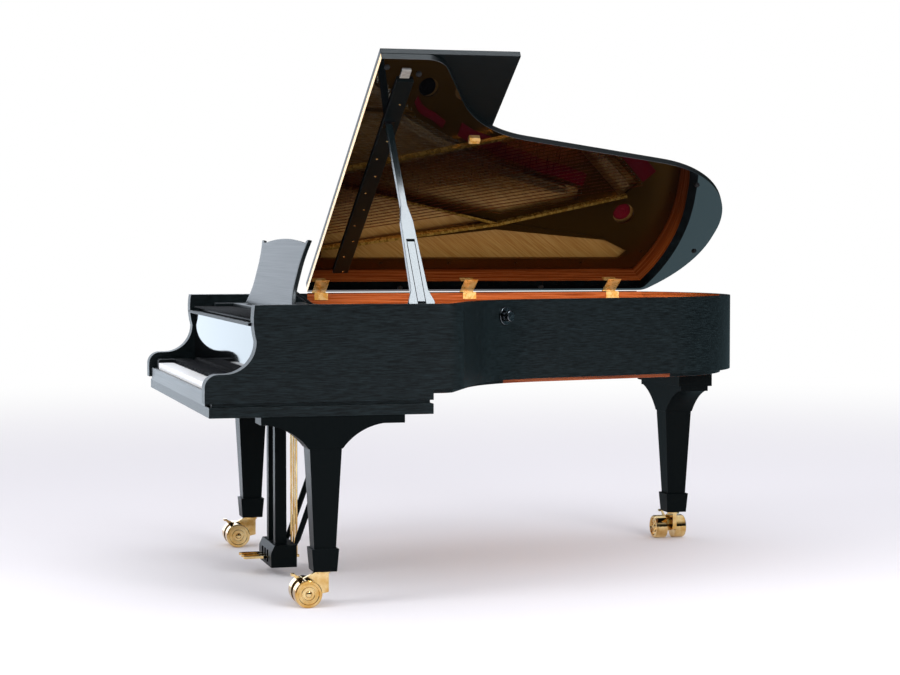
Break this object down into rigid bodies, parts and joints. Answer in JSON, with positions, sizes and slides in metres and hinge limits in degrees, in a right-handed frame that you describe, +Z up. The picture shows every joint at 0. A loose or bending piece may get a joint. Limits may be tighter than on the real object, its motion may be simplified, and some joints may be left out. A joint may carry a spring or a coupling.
{
  "type": "grand piano",
  "caption": "Black grand piano with the lid propped open, a raised music desk, square tapered legs on brass casters and a pedal lyre.",
  "frame": {"origin": "middle of the bounding box's base: on the floor, centred across and along the piano", "axes": "+X towards the treble side, +Y from the keyboard towards the tail, +Z up"},
  "size_m": [1.5746, 2.246, 1.8669],
  "materials": {
    "black_wood": "satin ebonised open-pore veneer",
    "mahogany": "polished",
    "spruce": "varnished",
    "maple": "varnished",
    "gilded_iron": "bronze lacquer",
    "steel": "polished",
    "copper": "wound copper",
    "damper_black": "gloss",
    "white_key": "gloss",
    "black_key": "satin",
    "brass": "polished"
  },
  "bodies": {
    "case": {"outer_rim": "black_wood", "inner_rim": "mahogany", "key_bed": "black_wood", "key_slip": "black_wood", "key_blocks": "black_wood", "case_beams": "spruce", "soundboard": "spruce", "soundboard_ribs": "spruce", "bridges": "maple", "iron_plate": "gilded_iron", "pin_block": "maple", "tuning_pins": "steel", "plain_strings": "steel", "wound_strings": "copper", "rim_hinges": "brass", "front_legs": "black_wood", "rear_leg": "black_wood", "pedal_lyre": "black_wood", "lyre_braces": "steel"},
    "lid": {"lid": "black_wood", "lid_fittings": "brass", "lid_batten": "black_wood"},
    "flap": {"lid_flap": "black_wood"},
    "prop": {"lid_prop": "black_wood"},
    "prop_short": {"short_prop": "black_wood"},
    "knob": {"lock_knob": "black_wood"},
    "fall": {"fallboard": "black_wood"},
    "tray": {"desk_tray": "black_wood"},
    "desk": {"music_desk": "black_wood"},
    "strut": {"desk_strut": "black_wood"},
    "action": {"action_frame": "maple"},
    "hammer_set": {"hammers": "maple"},
    "damper_set": {"dampers": "damper_black"},
    "key_c": {"keys_c": "white_key"},
    "key_c_sharp": {"keys_c_sharp": "black_key"},
    "key_d": {"keys_d": "white_key"},
    "key_d_sharp": {"keys_d_sharp": "black_key"},
    "key_e": {"keys_e": "white_key"},
    "key_f": {"keys_f": "white_key"},
    "key_f_sharp": {"keys_f_sharp": "black_key"},
    "key_g": {"keys_g": "white_key"},
    "key_g_sharp": {"keys_g_sharp": "black_key"},
    "key_a": {"keys_a": "white_key"},
    "key_a_sharp": {"keys_a_sharp": "black_key"},
    "key_b": {"keys_b": "white_key"},
    "pedal_left": {"left_pedal": "brass"},
    "rod_left": {"left_pedal_rod": "brass"},
    "pedal_middle": {"middle_pedal": "brass"},
    "rod_middle": {"middle_pedal_rod": "brass"},
    "pedal_right": {"right_pedal": "brass"},
    "rod_right": {"right_pedal_rod": "brass"},
    "bass_caster": {"bass_caster_fork": "brass"},
    "bass_wheel_set": {"bass_wheels": "brass"},
    "bass_brake": {"bass_brake_lever": "brass"},
    "treble_caster": {"treble_caster_fork": "brass"},
    "treble_wheel_set": {"treble_wheels": "brass"},
    "treble_brake": {"treble_brake_lever": "brass"},
    "rear_caster": {"rear_caster_fork": "brass"},
    "rear_wheel_set": {"rear_wheels": "brass"},
    "rear_brake": {"rear_brake_lever": "brass"}
  },
  "joints": [
    {"name": "lid_hinge", "type": "hinge", "parent": "case", "child": "lid", "pos_m": [-0.7818, -0.43, 1.003], "axis": [0, -1, 0], "range_deg": [0, 40]},
    {"name": "flap_hinge", "type": "hinge", "parent": "lid", "child": "flap", "pos_m": [-0.13053, -0.48, 1.43608], "axis": [0.848, 0, 0.5299], "range_deg": [0, 165]},
    {"name": "prop_fold", "type": "hinge", "parent": "case", "child": "prop", "pos_m": [0.715, -0.382, 0.985], "axis": [0, -1, 0], "range_deg": [0, 50]},
    {"name": "short_prop_swing", "type": "hinge", "parent": "prop", "child": "prop_short", "pos_m": [0.70691, -0.382, 1.0052], "axis": [0, 1, 0], "range_deg": [0, 90]},
    {"name": "knob_turn", "type": "hinge", "parent": "case", "child": "knob", "pos_m": [0.36579, 0.01111, 0.943], "axis": [0.8285, 0.5599, 0], "range_deg": [0, 90]},
    {"name": "fallboard_hinge", "type": "hinge", "parent": "case", "child": "fall", "pos_m": [0, -0.941, 0.762], "axis": [1, 0, 0], "range_deg": [0, 90]},
    {"name": "tray_slide", "type": "slide", "parent": "case", "child": "tray", "axis": [0, -1, 0], "range_m": [0, 0.1]},
    {"name": "desk_tilt", "type": "hinge", "parent": "tray", "child": "desk", "pos_m": [0, -0.766, 0.9683], "axis": [-1, 0, 0], "range_deg": [0, 66]},
    {"name": "strut_swing", "type": "hinge", "parent": "desk", "child": "strut", "pos_m": [0.32, -0.74402, 1.03492], "axis": [1, 0, 0], "range_deg": [0, 104]},
    {"name": "action_shift", "type": "slide", "parent": "case", "child": "action", "axis": [1, 0, 0], "range_m": [0, 0.003], "stiffness_N_per_m": 5000, "springref_m": -0.004},
    {"name": "key_c_press", "type": "hinge", "parent": "action", "child": "key_c", "pos_m": [0, -0.877, 0.7], "axis": [1, 0, 0], "range_deg": [0, 2.5], "stiffness_Nm_per_rad": 18, "springref_deg": -2.86},
    {"name": "key_c_sharp_press", "type": "hinge", "parent": "action", "child": "key_c_sharp", "pos_m": [0, -0.877, 0.7], "axis": [1, 0, 0], "range_deg": [0, 2.5], "stiffness_Nm_per_rad": 18, "springref_deg": -2.86},
    {"name": "key_d_press", "type": "hinge", "parent": "action", "child": "key_d", "pos_m": [0, -0.877, 0.7], "axis": [1, 0, 0], "range_deg": [0, 2.5], "stiffness_Nm_per_rad": 18, "springref_deg": -2.86},
    {"name": "key_d_sharp_press", "type": "hinge", "parent": "action", "child": "key_d_sharp", "pos_m": [0, -0.877, 0.7], "axis": [1, 0, 0], "range_deg": [0, 2.5], "stiffness_Nm_per_rad": 18, "springref_deg": -2.86},
    {"name": "key_e_press", "type": "hinge", "parent": "action", "child": "key_e", "pos_m": [0, -0.877, 0.7], "axis": [1, 0, 0], "range_deg": [0, 2.5], "stiffness_Nm_per_rad": 18, "springref_deg": -2.86},
    {"name": "key_f_press", "type": "hinge", "parent": "action", "child": "key_f", "pos_m": [0, -0.877, 0.7], "axis": [1, 0, 0], "range_deg": [0, 2.5], "stiffness_Nm_per_rad": 18, "springref_deg": -2.86},
    {"name": "key_f_sharp_press", "type": "hinge", "parent": "action", "child": "key_f_sharp", "pos_m": [0, -0.877, 0.7], "axis": [1, 0, 0], "range_deg": [0, 2.5], "stiffness_Nm_per_rad": 18, "springref_deg": -2.86},
    {"name": "key_g_press", "type": "hinge", "parent": "action", "child": "key_g", "pos_m": [0, -0.877, 0.7], "axis": [1, 0, 0], "range_deg": [0, 2.5], "stiffness_Nm_per_rad": 18, "springref_deg": -2.86},
    {"name": "key_g_sharp_press", "type": "hinge", "parent": "action", "child": "key_g_sharp", "pos_m": [0, -0.877, 0.7], "axis": [1, 0, 0], "range_deg": [0, 2.5], "stiffness_Nm_per_rad": 18, "springref_deg": -2.86},
    {"name": "key_a_press", "type": "hinge", "parent": "action", "child": "key_a", "pos_m": [0, -0.877, 0.7], "axis": [1, 0, 0], "range_deg": [0, 2.5], "stiffness_Nm_per_rad": 18, "springref_deg": -2.86},
    {"name": "key_a_sharp_press", "type": "hinge", "parent": "action", "child": "key_a_sharp", "pos_m": [0, -0.877, 0.7], "axis": [1, 0, 0], "range_deg": [0, 2.5], "stiffness_Nm_per_rad": 18, "springref_deg": -2.86},
    {"name": "key_b_press", "type": "hinge", "parent": "action", "child": "key_b", "pos_m": [0, -0.877, 0.7], "axis": [1, 0, 0], "range_deg": [0, 2.5], "stiffness_Nm_per_rad": 18, "springref_deg": -2.86},
    {"name": "hammer_throw", "type": "hinge", "parent": "action", "child": "hammer_set", "pos_m": [0, -0.631, 0.856], "axis": [1, 0, 0], "range_deg": [0, 19.5]},
    {"name": "damper_rise", "type": "slide", "parent": "case", "child": "damper_set", "axis": [0, 0, 1], "range_m": [0, 0.006]},
    {"name": "left_pedal_press", "type": "hinge", "parent": "case", "child": "pedal_left", "pos_m": [-0.05, -0.734, 0.0665], "axis": [1, 0, 0], "range_deg": [0, 6]},
    {"name": "left_rod_lift", "type": "slide", "parent": "case", "child": "rod_left", "axis": [0, 0, 1], "range_m": [0, 0.0057]},
    {"name": "middle_pedal_press", "type": "hinge", "parent": "case", "child": "pedal_middle", "pos_m": [0, -0.734, 0.0665], "axis": [1, 0, 0], "range_deg": [0, 6], "stiffness_Nm_per_rad": 4, "springref_deg": -5.73},
    {"name": "middle_rod_lift", "type": "slide", "parent": "case", "child": "rod_middle", "axis": [0, 0, 1], "range_m": [0, 0.0057]},
    {"name": "right_pedal_press", "type": "hinge", "parent": "case", "child": "pedal_right", "pos_m": [0.05, -0.734, 0.0665], "axis": [1, 0, 0], "range_deg": [0, 6]},
    {"name": "right_rod_lift", "type": "slide", "parent": "case", "child": "rod_right", "axis": [0, 0, 1], "range_m": [0, 0.0057]},
    {"name": "bass_caster_swivel", "type": "hinge", "parent": "case", "child": "bass_caster", "pos_m": [-0.714, -0.722, 0.115], "axis": [0, 0, 1], "continuous": true},
    {"name": "bass_wheel_roll", "type": "hinge", "parent": "bass_caster", "child": "bass_wheel_set", "pos_m": [-0.714, -0.782, 0.046], "axis": [1, 0, 0], "continuous": true},
    {"name": "bass_brake_press", "type": "hinge", "parent": "bass_caster", "child": "bass_brake", "pos_m": [-0.714, -0.79, 0.078], "axis": [1, 0, 0], "range_deg": [0, 25]},
    {"name": "treble_caster_swivel", "type": "hinge", "parent": "case", "child": "treble_caster", "pos_m": [0.714, -0.722, 0.115], "axis": [0, 0, 1], "continuous": true},
    {"name": "treble_wheel_roll", "type": "hinge", "parent": "treble_caster", "child": "treble_wheel_set", "pos_m": [0.714, -0.782, 0.046], "axis": [1, 0, 0], "continuous": true},
    {"name": "treble_brake_press", "type": "hinge", "parent": "treble_caster", "child": "treble_brake", "pos_m": [0.714, -0.79, 0.078], "axis": [1, 0, 0], "range_deg": [0, 25]},
    {"name": "rear_caster_swivel", "type": "hinge", "parent": "case", "child": "rear_caster", "pos_m": [-0.43, 0.963, 0.115], "axis": [0, 0, 1], "continuous": true},
    {"name": "rear_wheel_roll", "type": "hinge", "parent": "rear_caster", "child": "rear_wheel_set", "pos_m": [-0.49, 0.963, 0.046], "axis": [0, -1, 0], "continuous": true},
    {"name": "rear_brake_press", "type": "hinge", "parent": "rear_caster", "child": "rear_brake", "pos_m": [-0.498, 0.963, 0.078], "axis": [0, -1, 0], "range_deg": [0, 25]}
  ],
  "couplings": [
    {"joint": "strut_swing", "follows": "desk_tilt", "ratio": 1.56},
    {"joint": "left_pedal_press", "follows": "action_shift", "rad_per_m": 34.907},
    {"joint": "left_rod_lift", "follows": "action_shift", "ratio": 1.8667},
    {"joint": "right_pedal_press", "follows": "damper_rise", "rad_per_m": 17.453},
    {"joint": "right_rod_lift", "follows": "damper_rise", "ratio": 0.9333},
    {"joint": "middle_rod_lift", "follows": "middle_pedal_press", "m_per_rad": 0.05348}
  ]
}
